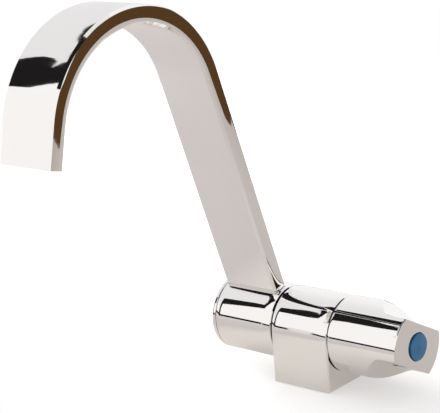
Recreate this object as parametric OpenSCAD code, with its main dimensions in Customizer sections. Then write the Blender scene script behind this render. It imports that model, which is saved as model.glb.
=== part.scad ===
// Folding caravan tap: a chromed cold-water tap whose flat spout folds down about one horizontal axis.
// Millimetres, +Z up, origin at the centre of the base's underside. The common axis of hub, valve and knob
// runs along X at axis_h: the spout's hub is at -X, the knob at +X, and the spout reaches towards -Y.

/* [Body] */
// Diameter of the round barrel, and depth of the square block
body_d = 36; // [35:0.5:40]
// Length of the body along the axis
body_l = 32.3; // [31.8:0.1:38]
// Height of the axis above the worktop
axis_h = 24; // [23:0.5:30]
// Rounding of the body's edges towards the hub
body_edge = 1.2; // [0.4:0.1:1.6]
// Length over which polishing has rolled off the body's and the hub's other ends
roll_l = 6; // [3:0.5:8]
// Depth of that roll-off at the end
roll_drop = 0.6; // [0.2:0.1:0.8]
// Bevel round the foot of the block
foot_bevel = 0.4; // [0.2:0.1:0.8]

/* [Inlet] */
// Diameter of the threaded inlet in the base
inlet_d = 18; // [14:0.5:19]
// Depth of the threaded inlet
inlet_depth = 9; // [6:0.5:10]
// Diameter of the channel from the inlet to the valve
inlet_channel_d = 6; // [4:0.5:6.5]
// Diameter of the channel from the valve to the spigot
outlet_channel_d = 4; // [3:0.25:4]

/* [Base gasket] */
// Outer diameter of the gasket
gasket_d = 29; // [28:0.5:30]
// Width of the gasket's ring
gasket_w = 3; // [2:0.25:4]
// Thickness of the gasket
gasket_t = 1.6; // [1:0.2:2.4]

/* [Pivot spigot] */
// Diameter of the barrel that the hub turns on
spigot_d = 18; // [17:0.5:19]
// Diameter of the thread that holds the spigot in the body
spigot_thread_d = 20; // [19:0.5:21]
// Depth of the threaded socket
socket_depth = 9; // [8:0.5:9.5]
// Diameter of the spigot's flange
flange_d = 25; // [23.5:0.5:28]
// Thickness of the spigot's flange
flange_t = 2; // [1.5:0.25:2.5]
// Thickness of the seal under the flange
flange_seal_t = 0.8; // [0.6:0.1:1.2]
// Diameter of the waterway through the spigot
spigot_bore_d = 9; // [7:0.5:10]
// Diameter of the holes from the waterway to the hub's gallery
cross_hole_d = 5; // [4:0.5:6]
// Thickness of the O-rings on the spigot
spigot_ring_cord = 2; // [1.6:0.1:2.4]
// Distance of each O-ring from the middle of the gallery
spigot_ring_offset = 8; // [7.5:0.25:9]

/* [Spout hub] */
// Length of the hub
hub_l = 34; // [33:0.5:40]
// Gap between hub and body
hub_gap = 0.6; // [0.4:0.1:1]
// Rounding of the hub's free end
hub_edge = 1; // [0.3:0.1:1.4]
// Distance from the hub's end at the body to the middle of the water gallery
gallery_inset = 12; // [11.5:0.25:13]
// Diameter of the water gallery
gallery_d = 24; // [22:0.5:25]
// Width of the water gallery
gallery_w = 9; // [7:0.5:10]
// Diameter of the hole from the gallery to the spout
feed_hole_d = 4.8; // [3:0.2:5]
// Diameter of the recess in the hub's free end
recess_d = 26; // [25:0.5:29]
// Depth of the recess in the hub's free end
recess_depth = 7.4; // [7:0.2:9]
// Thickness of the end cap
cap_t = 2.4; // [1.8:0.2:3]
// Rounding of the end cap's outer rim
cap_edge = 1.2; // [0.6:0.1:1.6]

/* [Hub retainer] */
// Thickness of the friction washer
end_washer_t = 0.8; // [0.5:0.1:1]
// Thickness of the retaining plate
plate_t = 1.5; // [1.2:0.1:2]
// Diameter of the retaining screw
retainer_screw_d = 5; // [4:0.5:6]
// Length of the retaining screw below its head
retainer_screw_l = 9; // [7:0.5:9.5]

/* [Spout] */
// Width of the flat tube
band_w = 31; // [26:0.5:32]
// Thickness of the flat tube
band_t = 8.4; // [7:0.2:9]
// Radius of the tube's bowed sides
band_side_r = 14; // [8:0.5:20]
// Bevel along the tube's four long edges
band_bevel = 0.8; // [0.4:0.1:1]
// Wall of the tube's front and back
band_wall = 1.2; // [0.8:0.1:1.4]
// Wall of the tube at the middle of its sides
band_side_wall = 1.9; // [1.6:0.1:2.4]
// Lean of the leg from upright towards the outlet
leg_lean = 18; // [5:1:30]
// Length of the leg from the axis to the bend
leg_l = 134; // [90:1:160]
// Distance of the leg's centre line behind the axis
leg_set_back = 0.4; // [0:0.1:2]
// Radius of the bend at the tube's centre line
bend_r = 48.4; // [35:0.2:60]
// Angle of the bend
bend_angle = 148; // [110:1:160]
// Straight length after the bend
mouth_l = 18; // [14:1:30]

/* [Outlet insert] */
// Length of the flow straightener in the spout's mouth
insert_l = 8; // [5:0.5:12]
// Distance of the straightener inside the mouth
insert_set_in = 0.6; // [0.2:0.1:2]
// Diameter of its holes
insert_hole_d = 2.8; // [2:0.1:3]
// Spacing of its holes
insert_pitch = 3.7; // [3.6:0.1:5]

/* [Valve] */
// Diameter of the valve chamber in the body
chamber_d = 20; // [19.5:0.25:21]
// Depth of the valve chamber
chamber_depth = 14; // [13.5:0.25:14.5]
// Diameter of the ceramic discs
disc_d = 13.5; // [12.5:0.25:13.75]
// Thickness of each ceramic disc
disc_t = 2.2; // [1.8:0.1:2.4]
// Thickness of the seal under the fixed disc
disc_seal_t = 1.5; // [1.2:0.1:1.8]
// Diameter of the two ports in each disc
port_d = 4; // [3:0.25:4.25]
// Wall of the valve body around the discs
valve_wall = 1.2; // [0.9:0.1:1.3]
// Length of the valve body's thread
valve_thread_l = 5; // [4.5:0.25:5.5]
// Diameter of the valve body's flange
valve_flange_d = 26; // [25:0.5:27]
// Thickness of the valve body's flange
valve_flange_t = 2.6; // [2.4:0.1:3]
// Distance across the flats of the valve body's hexagon
valve_hex = 17; // [16:0.5:19]
// Length of the hexagon
valve_hex_l = 5; // [4:0.5:5.5]
// Diameter of the valve body's neck
valve_neck_d = 12; // [11:0.5:13]
// Length of the neck
valve_neck_l = 3.4; // [3:0.2:4]
// Thickness of the O-ring under the flange
valve_ring_cord = 1.5; // [1.2:0.1:1.6]

/* [Spindle] */
// Diameter of the spindle
spindle_d = 8; // [7.5:0.25:8.5]
// Distance across the two flats that turn the knob
spindle_flats = 6.4; // [5.8:0.1:6.8]
// Length of the flattened end
spindle_drive_l = 10; // [8:0.5:11]
// Thickness of the spindle's driving plate
drive_plate_t = 2.4; // [2:0.1:2.6]
// Thickness of the O-rings on the spindle
spindle_ring_cord = 1.2; // [1:0.1:1.4]
// Thickness of the spindle's clip
clip_t = 0.8; // [0.6:0.1:1]

/* [Knob] */
// Length of the knob
knob_l = 37.35; // [35:0.05:42]
// Gap between knob and body
knob_gap = 0.5; // [0.3:0.1:1]
// Rounding of the knob's end
knob_edge = 0.8; // [0.4:0.1:1.6]
// Rounding of the knob's edge at the body
knob_skirt_edge = 0.4; // [0.2:0.1:0.8]
// Diameter of the bore inside the knob's skirt
skirt_bore_d = 29; // [28:0.5:31]
// Thickness of the grip bar between the two flats
bar_t = 20; // [18:0.5:24]
// Length of the level part of each flat
flat_l = 8.3; // [5:0.1:10]
// Slope of the run from the barrel down to the flat
flat_slope = 40; // [30:1:50]
// Radius of the hollow at the foot of the slope
flat_hollow_r = 6; // [3:0.5:8]
// Radius of the shoulder at the top of the slope
flat_shoulder_r = 12; // [6:0.5:14]
// Turn of the grip bar when the tap is shut
bar_turn = -28.5; // [-45:0.5:45]
// Thickness of the web that the knob's screw bears on
web_t = 3.5; // [2.5:0.25:4]
// Diameter of the knob's screw
knob_screw_d = 4; // [3:0.5:4.5]
// Length of the knob's screw below its head
knob_screw_l = 10; // [8:0.5:11]

/* [Index cap] */
// Diameter of the index cap
index_d = 12.5; // [11:0.25:14]
// Length of the index cap inside the knob
index_l = 4; // [3:0.25:4.5]
// Height of the index cap above the knob's end
index_dome = 1.2; // [1:0.1:1.6]
// Wall of the index cap
index_wall = 1.2; // [0.8:0.1:1.6]

/* [Hidden] */
$fn = 96;
hex_sides = 6;
// Radial clearance of a running fit
run_clear = 0.05;
// Radial clearance of a screwed or pressed fit
seat_clear = 0.05;
// Axial play of a turning piece
end_play = 0.05;
// Clearance between turning pieces that don't bear on each other
free_clear = 0.3;
// Excess of a cutter past the face that it cuts through
over = 1;

barrel_r = body_d / 2;
// Radius of the roll-off, and the broken edge at its end
roll_r = (pow(roll_l, 2) + pow(roll_drop, 2)) / (2 * roll_drop);
roll_break = 0.5;
roll_end_r = barrel_r - roll_drop - roll_break;
face_left = -body_l / 2;
face_right = body_l / 2;

hub_x1 = face_left - hub_gap;
hub_x0 = hub_x1 - hub_l;
hub_mid = (hub_x0 + hub_x1) / 2;
gallery_x = hub_x1 - gallery_inset;
recess_x = hub_x0 + recess_depth;
cap_plug_l = 1.4;
cap_inner_edge = 0.5;

// Spigot from its inner end in the body to its free end in the hub
socket_x = face_left + socket_depth;
socket_chamber_l = 2;
flange_seat_x = face_left + flange_t + flange_seal_t;
spigot_end = recess_x - end_play - end_washer_t;
spigot_bore_margin = 1;
spigot_bore_end = gallery_x - cross_hole_d / 2 - spigot_bore_margin;
spigot_blind_wall = 1.5;
washer_d = body_d - 4 * body_edge;
retainer_d = recess_d - 2 * free_clear;

// Screws and O-rings, as ratios of their diameter
screw_head_ratio = 1.8;
screw_head_h_ratio = 0.55;
screw_key_ratio = 0.9;
screw_key_floor_ratio = 0.35;
groove_ratio = 1.25;

// Spout: the pocket in the hub that the leg stands in, just clear of the hollows inside the hub
pocket_wall = 1.2;
pocket_floor = max(gallery_d, recess_d) / 2 + pocket_wall;
feed_start = (spigot_d + gallery_d) / 4;
// The mouth is drawn this much slimmer than the bend, and reaches this far into it
mouth_step = 0.05;
mouth_lap = 1.5;
waterway_w = band_w - 2 * band_side_wall;
waterway_t = band_t - 2 * band_wall;
waterway_r = 0.4;
// Least wall beside the outlet insert's outer holes
insert_wall = 0.8;

// Valve pieces, from the chamber's floor outwards
valve_x = face_right - chamber_depth;
inlet_port_x = (socket_x + valve_x) / 2;
outlet_channel_rise = min(chamber_d, spigot_thread_d) / 2 - outlet_channel_d / 2 - seat_clear;
port_r = disc_d / 4;
seal_margin = 0.5;
seal_bore_d = inlet_channel_d + 2 * seal_margin;
disc1_x = valve_x + disc_seal_t;
lap_gap = 0.02;
disc2_x = disc1_x + disc_t + lap_gap;
plate_x = disc2_x + disc_t;
shaft_x = plate_x + drive_plate_t;
valve_foot_x = valve_x + disc_seal_t / 2;
valve_cup_d = disc_d + 2 * free_clear;
valve_skirt_d = valve_cup_d + 2 * valve_wall;
valve_thread_x = face_right - valve_thread_l;
valve_flange_x = face_right + valve_flange_t;
valve_hex_x = valve_flange_x + valve_hex_l;
neck_end = valve_hex_x + valve_neck_l;
valve_ring_d = (chamber_d + valve_flange_d) / 2;
valve_groove_w = valve_ring_cord + 4 * seat_clear;
window_w = 6;
window_l = disc_t + drive_plate_t / 2;
tongue_w = 3;
tongue_h = 0.8;
spindle_ring_inset = 2.5;
spindle_ring_pitch = 5;
spindle_rings = [shaft_x + spindle_ring_inset, shaft_x + spindle_ring_inset + spindle_ring_pitch];
clip_x = neck_end + end_play;
clip_groove_depth = 0.7;
clip_reach = 1.5;
clip_mouth_ratio = 0.8;
clip_groove_d = spindle_d - 2 * clip_groove_depth;
clip_d = spindle_d + 2 * clip_reach;
clip_mouth = clip_mouth_ratio * clip_groove_d;

// Knob, from its skirt to its end
knob_x0 = face_right + knob_gap;
knob_x1 = knob_x0 + knob_l;
socket_knob_x = clip_x + clip_t + free_clear;
drive_end = socket_knob_x + spindle_drive_l;
web_x0 = drive_end + end_play;
web_x1 = web_x0 + web_t;
// Height of the cap's upright rim, and the bevel around it in the knob
index_rim = 0.8;
index_bevel = 0.4;
index_sag = index_dome - index_rim;
index_dome_r = (pow(index_d / 2, 2) + pow(index_sag, 2)) / (2 * index_sag);

// Points of each flat's outline, which starts just above the barrel
half_bar = bar_t / 2;
flat_rise = 0.3;
flat_top = barrel_r + flat_rise;
flat_x = knob_x1 - flat_l;
flat_sag = 1 - cos(flat_slope);
// The cutters lap by flat_lap; the flat and the slope lie flat_step deeper than the curves beside them
flat_lap = 1;
flat_step = 0.01;
slope_foot = [flat_x - flat_hollow_r * sin(flat_slope), half_bar + flat_hollow_r * flat_sag];
slope_run = (flat_top - half_bar - (flat_hollow_r + flat_shoulder_r) * flat_sag) / tan(flat_slope);
slope_head = [slope_foot.x - slope_run, flat_top - flat_shoulder_r * flat_sag];
shoulder_x = slope_head.x - flat_shoulder_r * sin(flat_slope);
slope_shift = -flat_step * [sin(flat_slope), cos(flat_slope)];

chrome = "silver";
brass = "goldenrod";
rubber = [0.12, 0.12, 0.12];
plastic = [0.25, 0.25, 0.25];
ceramic = "ivory";
steel = "slategray";
cold_blue = [0.17, 0.36, 0.58];

// Depth of an arc of radius r over a chord of length c
function bow(c, r) = r - sqrt(pow(r, 2) - pow(c / 2, 2));

// Solids of revolution on the tap's axis

module on_axis(x) {
    translate([x, 0, axis_h]) rotate([0, 90, 0]) children();
}

module rod(d, x0, x1) {
    on_axis(x0) cylinder(d = d, h = x1 - x0);
}

module tube(d_out, d_in, x0, x1) {
    difference() {
        rod(d_out, x0, x1);
        rod(d_in, x0 - over, x1 + over);
    }
}

// A rod with its two ends rounded by e0 and e1
module rounded_rod(d, x0, x1, e0, e1) {
    l = x1 - x0;
    on_axis(x0) rotate_extrude() union() {
        square([d / 2 - max(e0, e1), l]);
        translate([0, e0]) square([d / 2, l - e0 - e1]);
        translate([d / 2 - e0, e0]) intersection() {
            circle(e0);
            translate([0, -e0]) square(e0);
        }
        square([d / 2 - e0, e0]);
        translate([d / 2 - e1, l - e1]) intersection() {
            circle(e1);
            square(e1);
        }
        translate([0, l - e1]) square([d / 2 - e1, e1]);
    }
}

// Half outline of hub or body, radius against length: rounded by e at its start and rolled off at its end
module barrel_half(l, e) {
    intersection() {
        union() {
            square([barrel_r - e, l]);
            translate([0, e]) square([barrel_r, l - e - roll_l]);
            translate([barrel_r - e, e]) intersection() {
                circle(e);
                translate([0, -e]) square(e);
            }
            intersection() {
                translate([barrel_r - roll_r, l - roll_l]) circle(roll_r, $fn = 4 * $fn);
                translate([0, l - roll_l]) square([barrel_r, roll_l]);
            }
        }
        polygon([[0, 0], [barrel_r + over, 0], [barrel_r + over, l - (barrel_r + over - roll_end_r)],
            [roll_end_r, l], [0, l]]);
    }
}

module o_ring(d_mid, cord, x) {
    on_axis(x) rotate_extrude() translate([d_mid / 2, 0]) circle(d = cord);
}

// A screw along X whose head lies on the side that dir points to
module screw(d, l, x, dir) {
    head_d = d * screw_head_ratio;
    head_h = d * screw_head_h_ratio;
    translate([x, 0, axis_h]) rotate([0, 90 * dir, 0]) difference() {
        union() {
            translate([0, 0, -l]) cylinder(d = d - 2 * seat_clear, h = l + head_h / 2);
            cylinder(d = head_d, h = head_h);
        }
        translate([0, 0, head_h * screw_key_floor_ratio])
            cylinder(d = d * screw_key_ratio, h = head_h, $fn = hex_sides);
    }
}

// Flat shapes

module rounded_rect(w, h, r) {
    square([w - 2 * r, h], center = true);
    square([w, h - 2 * r], center = true);
    for (x = [-1, 1], y = [-1, 1]) translate([x * (w / 2 - r), y * (h / 2 - r)]) circle(r);
}

// The spout tube's section: flat front and back, bowed sides and bevelled edges, all of it larger by grow
module band_section(grow) {
    half_w = band_w / 2 + grow;
    half_t = band_t / 2 + grow;
    side_r = band_side_r + grow;
    // On the bevels, the distances from the two middle lines add up to this
    bevel_sum = half_w - bow(2 * half_t, side_r) + half_t - band_bevel;
    tip_x = half_w + over / 4;
    tip_y = half_t + over / 4;
    intersection() {
        union() for (side = [-1, 1]) intersection() {
            translate([side * (half_w - side_r), 0]) circle(side_r, $fn = 4 * $fn);
            translate([side * half_w / 2, 0]) square([half_w + 2 * over, 2 * half_t], center = true);
        }
        polygon([[bevel_sum - tip_y, tip_y], [tip_x, bevel_sum - tip_x],
            [tip_x, tip_x - bevel_sum], [bevel_sum - tip_y, -tip_y],
            [tip_y - bevel_sum, -tip_y], [-tip_x, tip_x - bevel_sum],
            [-tip_x, bevel_sum - tip_x], [tip_y - bevel_sum, tip_y]]);
    }
}

module waterway_section(grow) {
    rounded_rect(waterway_w + 2 * grow, waterway_t + 2 * grow, waterway_r + grow);
}

// Body

// The block below the axis, whose plan is the barrel's outline to both sides
module block() {
    for (side = [0, 1]) translate([face_left, 0, 0]) mirror([0, side, 0]) rotate(-90)
        linear_extrude(axis_h) barrel_half(body_l, body_edge);
}

// Wedge along one foot edge, for an edge of length l at distance d from the middle
module foot_bevel_cut(l, d) {
    wedge = foot_bevel * sqrt(2);
    translate([d, 0, 0]) rotate([0, 45, 0]) cube([wedge, l + over, wedge], center = true);
}

module body() color(chrome) difference() {
    union() {
        on_axis(face_left) rotate_extrude() barrel_half(body_l, body_edge);
        block();
    }
    for (side = [0, 180]) {
        rotate(side) foot_bevel_cut(body_d, body_l / 2);
        rotate(side + 90) foot_bevel_cut(body_l, body_d / 2);
    }
    // Threaded inlet, with the channel up to the valve's port
    translate([0, 0, -over]) cylinder(d = inlet_d, h = inlet_depth + over);
    translate([inlet_port_x, 0, inlet_depth - over])
        cylinder(d = inlet_channel_d, h = axis_h - inlet_depth + over);
    rod(inlet_channel_d, inlet_port_x, valve_x + over);
    // Valve chamber, and the channel from it to the spigot's socket
    rod(chamber_d, valve_x, face_right + over);
    translate([0, 0, outlet_channel_rise]) rod(outlet_channel_d, socket_x - over, valve_x + over);
    // Socket and flange seat of the spigot
    rod(spigot_thread_d, face_left - over, socket_x);
    rod(flange_d + 2 * seat_clear, face_left - over, flange_seat_x);
    // Groove of the base gasket
    translate([0, 0, -over]) difference() {
        cylinder(d = gasket_d + 2 * seat_clear, h = gasket_t + over);
        cylinder(d = gasket_d - 2 * gasket_w - 2 * seat_clear, h = gasket_t + over);
    }
}

module base_gasket() color(rubber) difference() {
    cylinder(d = gasket_d, h = gasket_t);
    translate([0, 0, -over]) cylinder(d = gasket_d - 2 * gasket_w, h = gasket_t + 2 * over);
}

// Pivot

module pivot_spigot() color(brass) difference() {
    union() {
        rod(spigot_thread_d - 2 * seat_clear, face_left, socket_x - socket_chamber_l);
        rod(flange_d, face_left, face_left + flange_t);
        rod(spigot_d, spigot_end, face_left + flange_t);
    }
    rod(spigot_bore_d, spigot_bore_end, socket_x);
    for (a = [0, 90]) translate([gallery_x, 0, axis_h]) rotate([a, 0, 0])
        cylinder(d = cross_hole_d, h = spigot_d + over, center = true);
    for (side = [-1, 1]) spigot_groove(gallery_x + side * spigot_ring_offset);
    rod(retainer_screw_d, spigot_end - over, spigot_bore_end - spigot_blind_wall);
}

module spigot_groove(x) {
    w = spigot_ring_cord * groove_ratio;
    tube(spigot_d + over, spigot_d - 2 * spigot_ring_cord - 2 * seat_clear, x - w / 2, x + w / 2);
}

module flange_seal() color(rubber)
    tube(flange_d, spigot_thread_d + 2 * seat_clear, face_left + flange_t, flange_seat_x);

module spigot_o_rings() color(rubber)
    for (side = [-1, 1])
        o_ring(spigot_d - spigot_ring_cord, spigot_ring_cord, gallery_x + side * spigot_ring_offset);

module pivot_washer() color(plastic)
    tube(washer_d, spigot_d + 2 * free_clear, face_left - hub_gap + end_play, face_left);

module end_washer() color(plastic)
    tube(retainer_d, spigot_d + 2 * free_clear, spigot_end, spigot_end + end_washer_t);

module retaining_plate() color(steel)
    tube(retainer_d, retainer_screw_d + 2 * seat_clear, spigot_end - plate_t, spigot_end);

module retaining_screw() color(steel) screw(retainer_screw_d, retainer_screw_l, spigot_end - plate_t, -1);

// Spout

// The leg's frame: local Z runs up the leg, local Y points out of the back of the bend
module leg_frame() {
    translate([hub_mid, 0, axis_h]) rotate([leg_lean, 0, 0]) translate([0, leg_set_back, 0]) children();
}

// A section run along the whole spout, from start on the leg to extra past the mouth
// The first child is the section of the leg and the bend, the second that of the mouth
module spout_run(start, extra) {
    leg_frame() {
        translate([0, 0, start]) linear_extrude(leg_l - start) children(0);
        translate([0, -bend_r, leg_l]) {
            rotate([90, 0, 90]) rotate_extrude(angle = bend_angle)
                translate([bend_r, 0]) rotate(90) children(0);
            rotate([bend_angle, 0, 0]) translate([0, bend_r, -mouth_lap])
                linear_extrude(mouth_l + mouth_lap + extra) children(1);
        }
    }
}

// Places children at the mouth, with local Z pointing out of it
module at_mouth() {
    leg_frame() translate([0, -bend_r, leg_l]) rotate([bend_angle, 0, 0])
        translate([0, bend_r, mouth_l]) children();
}

module spout_tube() color(chrome) difference() {
    spout_run(pocket_floor, 0) {
        band_section(0);
        band_section(-mouth_step);
    }
    spout_run(pocket_floor - over, over) {
        waterway_section(0);
        waterway_section(-mouth_step);
    }
}

module spout_hub() color(chrome) difference() {
    on_axis(hub_x0) rotate_extrude() barrel_half(hub_l, hub_edge);
    rod(spigot_d + 2 * run_clear, hub_x0, hub_x1 + over);
    rod(gallery_d, gallery_x - gallery_w / 2, gallery_x + gallery_w / 2);
    rod(recess_d, hub_x0 - over, recess_x);
    // Pocket that the leg stands in, and its feed from the gallery
    leg_frame() translate([0, 0, pocket_floor]) linear_extrude(barrel_r) band_section(seat_clear);
    leg_frame() translate([gallery_x - hub_mid, 0, feed_start])
        cylinder(d = feed_hole_d, h = pocket_floor - feed_start + over);
}

module hub_end_cap() color(chrome) union() {
    rounded_rod(body_d, hub_x0 - cap_t, hub_x0, cap_edge, cap_inner_edge);
    rod(recess_d - 2 * seat_clear, hub_x0, hub_x0 + cap_plug_l);
}

module outlet_insert() color(plastic) at_mouth() translate([0, 0, -insert_set_in - insert_l]) {
    holes = floor((waterway_w / 2 - insert_hole_d / 2 - insert_wall) / insert_pitch);
    difference() {
        linear_extrude(insert_l) waterway_section(-mouth_step - seat_clear);
        for (i = [-holes : holes]) translate([i * insert_pitch, 0, -over])
            cylinder(d = insert_hole_d, h = insert_l + 2 * over);
    }
}

// Valve

module cartridge_body() color(brass) difference() {
    union() {
        rod(valve_skirt_d, valve_foot_x, face_right);
        rod(chamber_d - 2 * seat_clear, valve_thread_x, face_right);
        rod(valve_flange_d, face_right, valve_flange_x);
        on_axis(valve_flange_x)
            cylinder(d = valve_hex / cos(180 / hex_sides), h = valve_hex_l, $fn = hex_sides);
        rod(valve_neck_d, valve_hex_x, neck_end);
    }
    rod(valve_cup_d, valve_foot_x - over, shaft_x + end_play);
    rod(spindle_d + 2 * run_clear, shaft_x, neck_end + over);
    // Windows beside the moving disc, where the water leaves
    translate([disc2_x, -barrel_r, axis_h - window_w / 2]) cube([window_l, body_d, window_w]);
    // Groove of the O-ring under the flange
    tube(valve_ring_d + valve_groove_w, valve_ring_d - valve_groove_w,
        face_right - over, face_right + valve_ring_cord + seat_clear);
}

module cartridge_o_ring() color(rubber)
    o_ring(valve_ring_d, valve_ring_cord, face_right + valve_ring_cord / 2 + seat_clear / 2);

module cartridge_seal() color(rubber) tube(disc_d, seal_bore_d, valve_x, disc1_x);

module ports(x, turn) {
    for (a = [0, 180]) translate([x - over, 0, axis_h]) rotate([turn + a, 0, 0]) translate([0, port_r, 0])
        rotate([0, 90, 0]) cylinder(d = port_d, h = disc_t + 2 * over);
}

module fixed_disc() color(ceramic) difference() {
    rod(disc_d, disc1_x, disc1_x + disc_t);
    ports(disc1_x, 0);
}

// Bar across the axis that turns the moving disc
module tongue(w, h) {
    translate([plate_x - h, -disc_d / 2 - over, axis_h - w / 2]) cube([h, disc_d + 2 * over, w]);
}

module moving_disc() color(ceramic) difference() {
    rod(disc_d, disc2_x, plate_x);
    ports(disc2_x, 90);
    tongue(tongue_w + 2 * seat_clear, tongue_h + seat_clear);
}

module spindle() color(brass) difference() {
    union() {
        rod(disc_d, plate_x, shaft_x);
        intersection() {
            rod(disc_d, plate_x - tongue_h, shaft_x);
            tongue(tongue_w, tongue_h);
        }
        rod(spindle_d, shaft_x, socket_knob_x);
        drive_end_bar(spindle_d, spindle_flats, socket_knob_x, drive_end);
    }
    for (x = spindle_rings) spindle_groove(x);
    tube(spindle_d + over, clip_groove_d, clip_x, clip_x + clip_t + end_play);
    rod(knob_screw_d, web_x1 - knob_screw_l - over, drive_end + over);
}

// Round bar with two flats, as on the spindle's end and in the knob
module drive_end_bar(d, flats, x0, x1) {
    intersection() {
        rod(d, x0, x1);
        translate([x0, 0, axis_h]) rotate([bar_turn, 0, 0])
            translate([0, -d, -flats / 2]) cube([x1 - x0, 2 * d, flats]);
    }
}

module spindle_groove(x) {
    w = spindle_ring_cord * groove_ratio;
    tube(spindle_d + over, spindle_d - 2 * spindle_ring_cord - 2 * seat_clear, x - w / 2, x + w / 2);
}

module spindle_o_rings() color(rubber)
    for (x = spindle_rings) o_ring(spindle_d - spindle_ring_cord, spindle_ring_cord, x);

module spindle_clip() color(steel) difference() {
    tube(clip_d, clip_groove_d + 2 * seat_clear, clip_x, clip_x + clip_t);
    translate([clip_x - over, 0, axis_h - clip_mouth / 2]) cube([clip_t + 2 * over, clip_d, clip_mouth]);
}

// Knob

// A prism across the knob, from an outline with X along the knob and Y out from its axis
module across(outline) {
    translate([0, 0, -body_d]) linear_extrude(2 * body_d) polygon(outline);
}

// What is cut away above the grip bar: a level flat, a hollow and a slope
module flat_cut() {
    across([[flat_x, half_bar - flat_step], [knob_x1 + over, half_bar - flat_step],
        [knob_x1 + over, flat_top + over], [flat_x - flat_lap, flat_top + over],
        [flat_x - flat_lap, half_bar + flat_lap]]);
    translate([flat_x, half_bar + flat_hollow_r, 0]) rotate(-90 - flat_slope)
        rotate_extrude(angle = flat_slope) translate([0, -body_d]) square([flat_hollow_r, 2 * body_d]);
    across([slope_foot + slope_shift, [flat_x, half_bar + flat_hollow_r / 2], [flat_x, flat_top + over],
        [slope_head.x - flat_lap, flat_top + over], slope_head + slope_shift]);
}

// The rounded shoulder between the barrel and the slope
module shoulder_cut() {
    difference() {
        across([[shoulder_x, slope_head.y - over], [slope_head.x, slope_head.y - over],
            [slope_head.x, flat_top + over], [shoulder_x, flat_top + over]]);
        translate([shoulder_x, flat_top - flat_shoulder_r, -body_d - over])
            cylinder(r = flat_shoulder_r, h = 2 * body_d + 2 * over);
    }
}

// Turns children from the flats' drawing plane to one side of the grip bar
module bar_side(side) {
    translate([0, 0, axis_h]) rotate([bar_turn + side, 0, 0]) rotate([90, 0, 0]) children();
}

module knob() color(chrome) difference() {
    rounded_rod(body_d, knob_x0, knob_x1, knob_skirt_edge, knob_edge);
    bar_side(0) flat_cut();
    bar_side(180) flat_cut();
    bar_side(0) shoulder_cut();
    bar_side(180) shoulder_cut();
    rod(skirt_bore_d, knob_x0 - over, socket_knob_x);
    drive_end_bar(spindle_d + 2 * seat_clear, spindle_flats + 2 * seat_clear, socket_knob_x - over, web_x0);
    rod(knob_screw_d + 2 * seat_clear, web_x0 - over, web_x1 + over);
    rod(index_d + 2 * seat_clear, web_x1, knob_x1 + over);
    on_axis(knob_x1 - index_bevel - over) cylinder(d1 = index_d + 2 * seat_clear - 2 * over,
        d2 = index_d + 2 * seat_clear + 2 * index_bevel + 2 * over, h = index_bevel + 2 * over);
}

module knob_screw() color(steel) screw(knob_screw_d, knob_screw_l, web_x1, 1);

module index_cap() color(cold_blue) difference() {
    on_axis(knob_x1 - index_l) rotate_extrude() intersection() {
        square([index_d / 2, index_l + index_dome]);
        translate([0, index_l + index_dome - index_dome_r]) circle(index_dome_r, $fn = 4 * $fn);
    }
    rod(index_d - 2 * index_wall, knob_x1 - index_l - over, knob_x1 - index_wall);
}

body();
base_gasket();
pivot_spigot();
flange_seal();
spigot_o_rings();
pivot_washer();
end_washer();
retaining_plate();
retaining_screw();
cartridge_body();
cartridge_o_ring();
cartridge_seal();
fixed_disc();
spout_hub();
spout_tube();
hub_end_cap();
outlet_insert();
knob();
index_cap();
knob_screw();
spindle();
spindle_o_rings();
spindle_clip();
moving_disc();
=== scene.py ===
"""Looks of the folding caravan tap: polished chrome in a white studio, on the tap's own CAD frame."""
import math

import bpy
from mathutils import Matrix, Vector


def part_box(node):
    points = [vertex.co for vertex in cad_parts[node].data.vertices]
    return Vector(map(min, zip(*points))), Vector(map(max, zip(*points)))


# Camera of the photograph: place in metres, turn in degrees, lens and sensor in millimetres
CAMERA_PLACE = (0.42859, -0.53996, 0.27247)
CAMERA_TURN = (74.895, 4.585, 40.896)
CAMERA_LENS = 126.757
CAMERA_SENSOR = 36.0
CAMERA_SHIFT = (0.0074, -0.0029)

# Directions in the frame: along the axis of hub, body and knob, to the front, to the back and up
AXIS = (1, 0, 0)
FRONT = (0, -1, 0)
BACK = (0, 1, 0)
UP = (0, 0, 1)

# Factors that leave what lies across the axis, and that turn a vector round
ACROSS_AXIS = (0, 1, 1)
OPPOSITE = (-1, -1, -1)

# Height of that axis and a height below every piece, in metres
AXIS_HEIGHT = 0.024
FAR_BELOW = -1.0

# Colours, linear
CHROME = (0.945, 0.93, 0.92, 1)
CHROME_DULL = (0.93, 0.915, 0.905, 1)
BRASS = (0.70, 0.50, 0.22, 1)
BRASS_DARK = (0.52, 0.35, 0.14, 1)
STEEL = (0.56, 0.57, 0.58, 1)
STEEL_DARK = (0.42, 0.43, 0.45, 1)
RUBBER = (0.018, 0.018, 0.019, 1)
RUBBER_PALE = (0.040, 0.040, 0.042, 1)
BLACK_PLASTIC = (0.022, 0.022, 0.024, 1)
BLACK_PLASTIC_PALE = (0.038, 0.038, 0.040, 1)
GREY_PLASTIC = (0.50, 0.50, 0.49, 1)
GREY_PLASTIC_DARK = (0.42, 0.42, 0.41, 1)
CERAMIC = (0.86, 0.84, 0.78, 1)
CERAMIC_DARK = (0.78, 0.75, 0.68, 1)
COLD_BLUE = (0.020, 0.122, 0.262, 1)
COLD_BLUE_DEEP = (0.014, 0.100, 0.225, 1)

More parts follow.
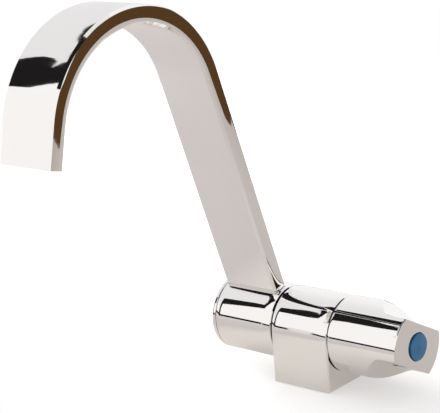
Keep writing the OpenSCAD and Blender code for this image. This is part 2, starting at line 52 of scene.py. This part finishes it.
# Finishes as surface() takes them
CHROME_FINISH = {"colours": (CHROME_DULL, CHROME), "roughness": (0.02, 0.05), "metallic": 1.0,
                 "colour_scale": 40, "roughness_scale": 90, "grain": (0.03, 70, 0.0004)}
INDEX_FINISH = {"colours": (COLD_BLUE_DEEP, COLD_BLUE), "roughness": (0.12, 0.22), "colour_scale": 160,
                "grain": (0.08, 300, 0.0001)}
PLAIN_FINISHES = {
    "brass": {"colours": (BRASS_DARK, BRASS), "roughness": (0.22, 0.36), "metallic": 1.0,
              "colour_scale": 120, "rings": 0.004},
    "steel": {"colours": (STEEL_DARK, STEEL), "roughness": (0.28, 0.42), "metallic": 1.0,
              "colour_scale": 120, "rings": 0.003},
    "rubber": {"colours": (RUBBER, RUBBER_PALE), "roughness": (0.62, 0.85), "grain": (0.3, 1800, 0.0001)},
    "black_plastic": {"colours": (BLACK_PLASTIC, BLACK_PLASTIC_PALE), "roughness": (0.42, 0.58),
                      "grain": (0.2, 2200, 0.00006)},
    "grey_plastic": {"colours": (GREY_PLASTIC_DARK, GREY_PLASTIC), "roughness": (0.38, 0.52),
                     "grain": (0.2, 2000, 0.00006)},
    "ceramic": {"colours": (CERAMIC_DARK, CERAMIC), "roughness": (0.10, 0.20)},
}

# Noise in every finish: the range in which its two colours blend, and the detail of colour, roughness and
# grain
MOTTLE_SPAN = (0.35, 0.65)
MOTTLE_DETAIL = 4
SMEAR_DETAIL = 5
GRAIN_DETAIL = 3

# Lathe rings: how far they waver, and the strength of their relief and its depth in metres
RING_WAVER = 0.4
RING_STRENGTH = 0.15
RING_DEPTH = 0.00005

# Painted shade beside each seam between the barrels: how far from an edge it stays darkest and where it
# ends, in metres, its colour, and the factor that leaves a colour unshaded
SEAM_DEEP = 0.0001
SEAM_WIDTH = 0.0005
SEAM_PAINTED_SHADE = (0.06, 0.055, 0.055, 1)
NO_SHADE = (1.0, 1.0, 1.0, 1)

# Polished barrels as (height below which their sides are upright, left end, right end), with each end as
# (length in metres, slope at the edge, painted shade beside the seam). At their left ends hub and body look
# softer than their solids are.
BARRELS = {
    "hub_chrome": (FAR_BELOW, (0.004, 0.30, SEAM_PAINTED_SHADE), (0.0065, 0.21, SEAM_PAINTED_SHADE)),
    "cap_chrome": (FAR_BELOW, (0.0014, 0.5, NO_SHADE), (0.0012, 0.15, SEAM_PAINTED_SHADE)),
    "body_chrome": (AXIS_HEIGHT, (0.004, 0.30, NO_SHADE), (0.0065, 0.21, NO_SHADE)),
    "knob_chrome": (FAR_BELOW, (0.0012, 0.15, SEAM_PAINTED_SHADE), (0.0012, 0.15, NO_SHADE)),
}

# The dome of the index, in metres: its height and how far below its crown the painted shade round its rim
# ends, and that painted shade
INDEX_DOME = 0.0012
INDEX_CLEAR = 0.0008
INDEX_RIM_PAINTED_SHADE = (0.25, 0.32, 0.42, 1)

# The spout's bend and the bow of its sides, in metres, the turns of its leg and bend, in degrees, and the
# directions of its leg and mouth that follow
BEND_CENTRE = (-0.03375, -0.08706, 0.13661)
BEND_RADIUS = 0.0484
SIDE_RADIUS = 0.014
LEG_TURN = 18
BEND_TURN = 148
LEG_LEAN = math.radians(LEG_TURN)
MOUTH_LEAN = math.radians(LEG_TURN + BEND_TURN)
LEG_UP = (0, -math.sin(LEG_LEAN), math.cos(LEG_LEAN))
MOUTH_OUT = (0, -math.sin(MOUTH_LEAN), math.cos(MOUTH_LEAN))

# Least likeness of a facet to a smooth normal that it follows, as a cosine. For the spout's outer bevel it
# falls over a range of how far the outer face is turned to the back, and more than 1 is never reached.
FACET_LIKENESS = 0.94
BEVEL_TURN = (-0.32, -0.20)
BEVEL_LIKENESS = (1.1, 0.92)

# Sockets of a mix node for vectors, and the only output of a shader node
MIX_FACTOR = 0
MIX_A = 4
MIX_B = 5
MIX_RESULT = 1
SHADER_OUTPUT = 0

# Floor sheet with uneven edges, in metres, and how far it lies under the tap
FLOOR_OUTLINE = ((1.6, -0.60), (1.6, 0.18), (0.39, 0.30), (0.34, 0.72), (-0.60, 0.72), (-0.60, -0.20),
                 (-0.20, -0.60))
FLOOR_DROP = 0.0003

# The floor as the camera sees it: white with the tap's shadow, from paper in the light of the lamp and a
# painted glow that changes along the axis: brightest on the left, it washes out the shadow under the hub
FLOOR_PAPER = (0.67, 0.665, 0.66, 1)
FLOOR_PAINTED_GLOW = (
    (-0.075, (0.62, 0.62, 0.62, 1)),
    (-0.035, (0.58, 0.58, 0.58, 1)),
    (-0.005, (0.37, 0.37, 0.37, 1)),
    (0.06, (0.33, 0.33, 0.33, 1)),
    (0.15, (0.40, 0.40, 0.40, 1)),
)

# The floor as the chrome sees it: a warm grey that is half glow, with painted light and shade that change
# towards the left and front, and the share of it that takes the tap's shadow
FLOOR_LEFT_FRONT = (-1.0, -0.5, 0.0)
FLOOR_MIRRORED_LIGHT_AND_SHADE = (
    (-0.75, (0.48, 0.445, 0.42, 1)),
    (-0.25, (0.55, 0.515, 0.485, 1)),
    (-0.07, (0.53, 0.49, 0.465, 1)),
    (0.015, (0.71, 0.665, 0.63, 1)),
    (0.055, (0.73, 0.69, 0.65, 1)),
    (0.07, (0.72, 0.68, 0.64, 1)),
    (0.10, (0.58, 0.54, 0.525, 1)),
    (0.22, (0.595, 0.56, 0.545, 1)),
    (0.36, (0.65, 0.63, 0.625, 1)),
)
FLOOR_SHADE = 0.5

# Where the worktop gives way to the basin into which the spout folds, in metres: the camera sees through the
# floor there
BASIN_EDGE = (-0.045, -0.070)

# The dark table round the floor sheet, which only the chrome sees, in metres and degrees about the tap: brown
# behind and nearly black in front, with an upright rim that is higher from TABLE_BACK on
TABLE_RADIUS = 6.0
TABLE_POINTS = 97
TABLE_SPAN = (-170, 75)
TABLE_DROP = 0.001
TABLE_RIM = 0.16
TABLE_BACK = 25
TABLE_BACK_RIM = 1.2
TABLE_FADE = ((-0.3, (0.016, 0.015, 0.015, 1)), (0.3, (0.088, 0.044, 0.016, 1)))

# Cards that only the chrome sees, in metres: upright ones at CARD_X on the left as outlines of (y, z), and a
# level flag high on the right as an outline of (x, y). Black and grey meet at CARD_EDGE, whose first ten
# points give the dark shape in the arch.
CARD_X = -0.30
CARD_EDGE = ((-0.20, 0.325), (-0.212, 0.340), (-0.208, 0.360), (-0.204, 0.376), (-0.188, 0.398),
             (-0.181, 0.412), (-0.188, 0.420), (-0.205, 0.418), (-0.235, 0.402), (-0.215, 0.418),
             (-0.20, 0.43), (-0.12, 0.452), (-0.03, 0.438), (0.04, 0.418), (0.20, 0.360))
BLACK_CARD = ((-0.28, 0), (-0.20, 0), *CARD_EDGE, (0.13, 0.394), (0.03, 0.434), (-0.025, 0.455),
              (-0.025, 1.5), (-0.305, 1.5), (-0.305, 0.45), (-0.29, 0.41), (-0.305, 0.33), (-0.265, 0.28))
GREY_CARD = ((-0.20, 0.12), (0.25, 0.12), (0.25, 0.345), *reversed(CARD_EDGE))
PAPER_CARD = ((-0.440, 0), (-0.4075, 0), (-0.4075, 0.06), (-0.440, 0.06))
FLAG_HEIGHT = 1.2
FLAG = ((0.55, -1.2), (3.0, -1.2), (3.0, 1.2), (0.55, 1.2))
CARD_BLACK = (0.012, 0.011, 0.012, 1)
CARD_GREY = (0.84, 0.835, 0.84, 1)
CARD_PAPER = (0.80, 0.77, 0.74, 1)
CARDS = {
    "black_card": (BLACK_CARD, CARD_BLACK),
    "grey_card": (GREY_CARD, CARD_GREY),
    "paper_card": (PAPER_CARD, CARD_PAPER),
}

# The room as the camera sees it
BACKDROP = (1.0, 1.0, 1.0, 1)

# The room as the chrome sees it, by the angle about the tap's axis: 0 is the horizon in front, 90 is overhead
# and 180 is the horizon behind. Each stop is (degrees, red, green, blue).
ROOM = (
    (-180, 1.0, 1.0, 1.0),
    (-150, 1.0, 1.0, 1.0),
    (-120, 0.62, 0.60, 0.585),
    (-2, 0.62, 0.60, 0.585),
    (0, 1.0, 1.0, 1.0),
    (4, 0.985, 0.97, 0.955),
    (60, 0.985, 0.98, 0.97),
    (97, 0.82, 0.82, 0.825),
    (112, 0.86, 0.86, 0.865),
    (135, 0.95, 0.945, 0.94),
    (180, 1.0, 1.0, 1.0),
)

# Lamp, in metres and watts
LAMP_PLACE = (-0.70, 0.15, 0.60)
LAMP_AIM = (0.0, -0.02, 0.0)
LAMP_SIZE = 0.6
LAMP_POWER = 3.5

# The nodes that each material dresses
NODE_MATERIALS = {
    "hub_chrome": ("spout_hub",),
    "cap_chrome": ("hub_end_cap",),
    "body_chrome": ("body",),
    "knob_chrome": ("knob",),
    "spout_chrome": ("spout_tube",),
    "brass": ("pivot_spigot", "cartridge_body", "spindle"),
    "steel": ("retaining_plate", "retaining_screw", "knob_screw", "spindle_clip"),
    "rubber": ("base_gasket", "flange_seal", "spigot_o_rings", "cartridge_o_ring", "cartridge_seal",
               "spindle_o_rings"),
    "black_plastic": ("pivot_washer", "end_washer"),
    "grey_plastic": ("outlet_insert",),
    "ceramic": ("fixed_disc", "moving_disc"),
    "cold_blue": ("index_cap",),
}


class Graph:
    """The node tree of a material or world. Its helpers take and give outputs as (node, output)."""

    def __init__(self, owner):
        owner.use_nodes = True
        self.tree = owner.node_tree
        self.tree.nodes.clear()

    def add(self, kind, **settings):
        node = self.tree.nodes.new(kind)
        for name, value in settings.items():
            setattr(node, name, value)
        return node

    def join(self, source, target, entry):
        node, output = source
        self.tree.links.new(node.outputs[output], target.inputs[entry])

    def feed(self, node, entries):
        """Sets a node's first inputs from constants or from outputs."""
        for index, entry in enumerate(entries):
            if isinstance(entry, tuple) and isinstance(entry[0], bpy.types.Node):
                self.join(entry, node, index)
            else:
                node.inputs[index].default_value = entry

    def vector(self, operation, *entries, output="Vector"):
        """A step of vector arithmetic."""
        node = self.add("ShaderNodeVectorMath", operation=operation)
        self.feed(node, entries)
        return node, output

    def number(self, operation, *entries):
        """A step of plain arithmetic."""
        node = self.add("ShaderNodeMath", operation=operation)
        self.feed(node, entries)
        return node, "Value"

    def shader(self, kind, *entries):
        """A shader with its first inputs."""
        node = self.add(kind)
        self.feed(node, entries)
        return node, SHADER_OUTPUT

    def coords(self):
        """Places on the piece, in metres."""
        return self.add("ShaderNodeTexCoord"), "Object"

    def reach(self, vector, direction):
        """How far a vector reaches along a direction."""
        return self.vector("DOT_PRODUCT", vector, direction, output="Value")

    def noise(self, coords, scale, detail):
        node = self.add("ShaderNodeTexNoise")
        node.inputs["Scale"].default_value = scale
        node.inputs["Detail"].default_value = detail
        self.join(coords, node, "Vector")
        return node, "Fac"

    def spread(self, source, source_range, target_range, **settings):
        """The source's values carried from one range to another."""
        node = self.add("ShaderNodeMapRange", **settings)
        node.inputs["From Min"].default_value, node.inputs["From Max"].default_value = source_range
        node.inputs["To Min"].default_value, node.inputs["To Max"].default_value = target_range
        self.join(source, node, "Value")
        return node, "Result"

    def ramp(self, source, stops):
        """A colour ramp with rising stops of (place, colour)."""
        node = self.add("ShaderNodeValToRGB")
        elements = node.color_ramp.elements
        for place, _ in stops[1:-1]:
            elements.new(place)
        for element, (place, colour) in zip(elements, stops):
            element.position = place
            element.color = colour
        self.join(source, node, "Fac")
        return node, "Color"

    def along(self, direction, stops):
        """A colour that changes along a direction, with stops of (distance, colour)."""
        start, end = stops[0][0], stops[-1][0]
        distance = self.reach(self.coords(), Vector(direction).normalized())
        place = self.spread(distance, (start, end), (0, 1))
        return self.ramp(place, [((at - start) / (end - start), colour) for at, colour in stops])

    def relief(self, height, strength, depth, base=None):
        """The normal of a relief on a base normal, or else on the piece's own."""
        node = self.add("ShaderNodeBump")
        node.inputs["Strength"].default_value = strength
        node.inputs["Distance"].default_value = depth
        self.join(height, node, "Height")
        if base:
            self.join(base, node, "Normal")
        return node, "Normal"

    def grain_relief(self, coords, strength, scale, depth, base):
        return self.relief(self.noise(coords, scale, GRAIN_DETAIL), strength, depth, base)

    def ring_relief(self, coords, pitch):
        waves = self.add("ShaderNodeTexWave", bands_direction="X")
        waves.inputs["Scale"].default_value = 1 / pitch
        waves.inputs["Distortion"].default_value = RING_WAVER
        self.join(coords, waves, "Vector")
        return self.relief((waves, "Fac"), RING_STRENGTH, RING_DEPTH)

    def barrel_normals(self, coords, upright, ends):
        """The smooth normal of a barrel about the tap's axis, as followed() takes it.

        upright is the height below which its sides are upright, and each of its two soft ends is (where it
        starts, where it ends, slope there).
        """
        place = self.vector("SUBTRACT", coords, (0, 0, AXIS_HEIGHT))
        above = self.vector("MAXIMUM", place, (FAR_BELOW, FAR_BELOW, upright - AXIS_HEIGHT))
        normal = self.vector("NORMALIZE", self.vector("MULTIPLY", above, ACROSS_AXIS))
        for start, end, slope in ends:
            fall = self.spread(self.reach(place, AXIS), (start, end), (0, slope),
                               interpolation_type="SMOOTHSTEP")
            normal = self.vector("ADD", normal, self.vector("MULTIPLY", AXIS, fall))
        normal = self.vector("NORMALIZE", normal)
        return [(normal, normal, FACET_LIKENESS)]

    def spout_normals(self, coords):
        """Smooth normals of the spout's bowed sides, outer face and inner face, as followed() takes them.

        Towards the back, the bevel round the outer face looks like the sides.
        """
        place = self.vector("SUBTRACT", coords, BEND_CENTRE)
        across = self.vector("MULTIPLY", place, ACROSS_AXIS)
        for direction, clip in ((LEG_UP, "MINIMUM"), (MOUTH_OUT, "MAXIMUM")):
            straight = self.number(clip, self.reach(across, direction), 0.0)
            across = self.vector("SUBTRACT", across, self.vector("MULTIPLY", direction, straight))
        outward = self.vector("NORMALIZE", across)
        inward = self.vector("MULTIPLY", outward, OPPOSITE)
        lean = self.spread(self.vector("LENGTH", across, output="Value"),
                           (BEND_RADIUS - SIDE_RADIUS, BEND_RADIUS + SIDE_RADIUS), (-1, 1))
        sideways = self.vector("MULTIPLY", self.vector("SIGN", place), AXIS)
        bowed = self.vector("ADD", sideways, self.vector("MULTIPLY", outward, lean))
        side = self.vector("NORMALIZE", bowed)
        bevel = self.vector("NORMALIZE", self.vector("ADD", side, outward))
        bevel_likeness = self.spread(self.reach(outward, BACK), BEVEL_TURN, BEVEL_LIKENESS)
        faces = [(normal, normal, FACET_LIKENESS) for normal in (side, outward, inward)]
        return faces + [(side, bevel, bevel_likeness)]

    def in_world(self, normal):
        """A normal of the piece carried to the world."""
        node = self.add("ShaderNodeVectorTransform", vector_type="NORMAL", convert_from="OBJECT",
                        convert_to="WORLD")
        self.join(normal, node, "Vector")
        return node, "Vector"

    def followed(self, normals):
        """The facets' own normal, or the last one here that they follow.

        Each entry is (normal to show, normal that the facets are like, least likeness).
        """
        facets = self.add("ShaderNodeNewGeometry")
        chosen = (facets, "Normal")
        for shown, like, least in normals:
            likeness = self.reach((facets, "True Normal"), self.in_world(like))
            mix = self.add("ShaderNodeMix", data_type="VECTOR")
            self.join(self.number("GREATER_THAN", likeness, least), mix, MIX_FACTOR)
            self.join(chosen, mix, MIX_A)
            self.join(self.in_world(shown), mix, MIX_B)
            chosen = (mix, MIX_RESULT)
        return chosen

    def show(self, shader, output="ShaderNodeOutputMaterial"):
        self.join(shader, self.add(output), "Surface")

    def show_front(self, shader, opening=0.0):
        """Shows a shader on the front of its faces alone, and there only outside an opening."""
        faces = self.add("ShaderNodeNewGeometry")
        hidden = self.number("MAXIMUM", (faces, "Backfacing"), opening)
        clear = self.shader("ShaderNodeBsdfTransparent")
        self.show(self.shader("ShaderNodeMixShader", hidden, shader, clear))


def surface(name, colours, roughness, metallic=0.0, colour_scale=80, roughness_scale=200, grain=None,
            rings=None, form=None, painted_shade_stops=None):
    """A principled material with its two colours and its range of roughness from noise at real scales.

    grain is (strength, scale, depth in metres) of a noise relief, and rings the pitch in metres of the fine
    rings that a lathe leaves. form is a function of the graph and its coordinates that gives the smooth
    normals under a grain, as followed() takes them. painted_shade_stops are the stops along the axis of a
    painted shade on the colour.
    """
    material = bpy.data.materials.new(name)
    graph = Graph(material)
    shader = graph.add("ShaderNodeBsdfPrincipled")
    shader.inputs["Metallic"].default_value = metallic
    coords = graph.coords()
    tint = graph.ramp(graph.noise(coords, colour_scale, MOTTLE_DETAIL), list(zip(MOTTLE_SPAN, colours)))
    # Painted shade, multiplied into the colour along the axis
    if painted_shade_stops:
        tint = graph.vector("MULTIPLY", tint, graph.along(AXIS, painted_shade_stops))
    graph.join(tint, shader, "Base Color")
    smear = graph.noise(coords, roughness_scale, SMEAR_DETAIL)
    graph.join(graph.spread(smear, (0, 1), roughness), shader, "Roughness")
    if grain:
        base = graph.followed(form(graph, coords)) if form else None
        graph.join(graph.grain_relief(coords, *grain, base), shader, "Normal")
    elif rings:
        graph.join(graph.ring_relief(coords, rings), shader, "Normal")
    graph.show((shader, SHADER_OUTPUT))
    return material


def span_of(name):
    """Where the node of a material with one node starts and ends along the axis."""
    low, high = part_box(*NODE_MATERIALS[name])
    return low.x, high.x


def barrel_chrome(name, upright, left, right):
    """Chrome for a barrel, described as in BARRELS."""
    low, high = span_of(name)
    (left_length, left_slope, left_seam), (right_length, right_slope, right_seam) = left, right
    ends = (low + left_length, low, -left_slope), (high - right_length, high, right_slope)
    # Painted shade darkens the chrome beside each seam that BARRELS shades
    painted_shade_stops = [(low, left_seam), (low + SEAM_DEEP, left_seam), (low + SEAM_WIDTH, NO_SHADE),
             (high - SEAM_WIDTH, NO_SHADE), (high - SEAM_DEEP, right_seam), (high, right_seam)]
    return surface(name, form=lambda graph, coords: graph.barrel_normals(coords, upright, ends), painted_shade_stops=painted_shade_stops,
                   **CHROME_FINISH)


def index_blue(name):
    """Blue for the domed index, with painted shade round its rim."""
    crown = span_of(name)[1]
    # Painted shade darkens the rim of the dome
    rim = [(crown - INDEX_DOME, INDEX_RIM_PAINTED_SHADE), (crown - INDEX_CLEAR, NO_SHADE), (crown, NO_SHADE)]
    return surface(name, painted_shade_stops=rim, **INDEX_FINISH)


def make_materials():
    materials = {name: barrel_chrome(name, *barrel) for name, barrel in BARRELS.items()}
    materials["spout_chrome"] = surface("spout_chrome", form=Graph.spout_normals, **CHROME_FINISH)
    for name, finish in PLAIN_FINISHES.items():
        materials[name] = surface(name, **finish)
    materials["cold_blue"] = index_blue("cold_blue")
    return materials


def dress_nodes(nodes, materials):
    for name, members in NODE_MATERIALS.items():
        for node in members:
            slots = nodes[node].data.materials
            slots.clear()
            slots.append(materials[name])


def add_object(name, data):
    piece = bpy.data.objects.new(name, data)
    bpy.context.scene.collection.objects.link(piece)
    return piece


def add_stage(name, vertices, faces, material):
    mesh = bpy.data.meshes.new(name)
    mesh.from_pydata(vertices, [], faces)
    mesh.materials.append(material)
    piece = add_object(name, mesh)
    return piece


def hide_but_from_chrome(piece):
    """Leaves a piece to mirror reflections alone, so that it neither shades nor shows."""
    piece.visible_camera = False
    piece.visible_diffuse = False
    piece.visible_transmission = False
    piece.visible_shadow = False


def make_floor():
    material = bpy.data.materials.new("floor_sheet")
    graph = Graph(material)
    # Painted glow, brightest on the left, washes out the shadow under the hub
    glow = graph.shader("ShaderNodeEmission", graph.along(AXIS, FLOOR_PAINTED_GLOW))
    paper = graph.shader("ShaderNodeBsdfDiffuse", FLOOR_PAPER)
    seen = graph.shader("ShaderNodeAddShader", glow, paper)
    # Painted light and shade, half of it glowing, on the floor that the chrome mirrors
    mirrored_light_and_shade = graph.along(FLOOR_LEFT_FRONT, FLOOR_MIRRORED_LIGHT_AND_SHADE)
    warm_glow = graph.shader("ShaderNodeEmission", mirrored_light_and_shade)
    warm_paper = graph.shader("ShaderNodeBsdfDiffuse", mirrored_light_and_shade)
    mirrored = graph.shader("ShaderNodeMixShader", FLOOR_SHADE, warm_glow, warm_paper)
    path = graph.add("ShaderNodeLightPath")
    sheet = graph.shader("ShaderNodeMixShader", (path, "Is Glossy Ray"), seen, mirrored)
    basin = graph.spread(graph.reach(graph.coords(), BACK), BASIN_EDGE, (0, 1))
    graph.show_front(sheet, graph.number("MULTIPLY", (path, "Is Camera Ray"), basin))
    corners = [(x, y, -FLOOR_DROP) for x, y in FLOOR_OUTLINE]
    add_stage("floor", corners, [range(len(corners))], material)


def make_table():
    material = bpy.data.materials.new("table")
    graph = Graph(material)
    graph.show_front(graph.shader("ShaderNodeEmission", graph.along(BACK, TABLE_FADE)))
    start, end = (math.radians(turn) for turn in TABLE_SPAN)
    turns = [start + (end - start) * i / (TABLE_POINTS - 1) for i in range(TABLE_POINTS)]
    edge = [(TABLE_RADIUS * math.cos(turn), TABLE_RADIUS * math.sin(turn)) for turn in turns]
    rims = [TABLE_RIM if turn < math.radians(TABLE_BACK) else TABLE_BACK_RIM for turn in turns]
    corners = [(x, y, -TABLE_DROP) for x, y in edge] + [(x, y, rim) for (x, y), rim in zip(edge, rims)]
    corners.append((0, 0, -TABLE_DROP))
    top = [*range(TABLE_POINTS), len(corners) - 1]
    walls = [(i, i - 1, i - 1 + TABLE_POINTS, i + TABLE_POINTS) for i in range(1, TABLE_POINTS)]
    hide_but_from_chrome(add_stage("table", corners, [top] + walls, material))


def make_card(name, corners, colour):
    material = bpy.data.materials.new(name)
    graph = Graph(material)
    graph.show(graph.shader("ShaderNodeEmission", colour))
    hide_but_from_chrome(add_stage(name, corners, [range(len(corners))], material))


def make_cards():
    for name, (outline, colour) in CARDS.items():
        make_card(name, [(CARD_X, y, z) for y, z in outline], colour)
    make_card("flag", [(x, y, FLAG_HEIGHT) for x, y in FLAG], CARD_BLACK)


def make_world():
    """A white room that the chrome sees a little greyer overhead and grey below the horizon."""
    world = bpy.data.worlds.new("studio")
    bpy.context.scene.world = world
    graph = Graph(world)
    sight = (graph.add("ShaderNodeTexCoord"), "Generated")
    angle = graph.number("ARCTAN2", graph.reach(sight, UP), graph.reach(sight, FRONT))
    first, last = ROOM[0][0], ROOM[-1][0]
    place = graph.spread(angle, (math.radians(first), math.radians(last)), (0, 1))
    tone = graph.ramp(place, [((at - first) / (last - first), (*colour, 1)) for at, *colour in ROOM])
    path = graph.add("ShaderNodeLightPath")
    room = graph.shader("ShaderNodeBackground", tone)
    backdrop = graph.shader("ShaderNodeBackground", BACKDROP)
    seen = graph.shader("ShaderNodeMixShader", (path, "Is Camera Ray"), room, backdrop)
    graph.show(seen, "ShaderNodeOutputWorld")


def make_lamp():
    data = bpy.data.lights.new("softbox", "AREA")
    data.energy = LAMP_POWER
    data.shape = "SQUARE"
    data.size = LAMP_SIZE
    lamp = add_object("softbox", data)
    lamp.location = LAMP_PLACE
    lamp.rotation_euler = (Vector(LAMP_AIM) - lamp.location).to_track_quat("-Z", "Y").to_euler()
    lamp.visible_glossy = False


def make_camera():
    data = bpy.data.cameras.new("camera")
    data.sensor_fit = "HORIZONTAL"
    data.sensor_width = CAMERA_SENSOR
    data.lens = CAMERA_LENS
    data.shift_x, data.shift_y = CAMERA_SHIFT
    camera = add_object("camera", data)
    camera.location = CAMERA_PLACE
    camera.rotation_euler = [math.radians(turn) for turn in CAMERA_TURN]
    bpy.context.scene.camera = camera


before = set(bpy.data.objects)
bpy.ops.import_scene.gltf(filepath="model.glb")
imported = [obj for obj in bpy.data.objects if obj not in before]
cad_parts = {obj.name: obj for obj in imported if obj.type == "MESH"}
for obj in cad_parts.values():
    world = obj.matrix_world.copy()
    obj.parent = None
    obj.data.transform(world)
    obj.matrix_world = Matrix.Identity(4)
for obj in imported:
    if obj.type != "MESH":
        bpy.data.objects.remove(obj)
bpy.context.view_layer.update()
bpy.context.scene.view_settings.view_transform = "Standard"
dress_nodes(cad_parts, make_materials())
make_floor()
make_table()
make_cards()
make_world()
make_lamp()
make_camera()
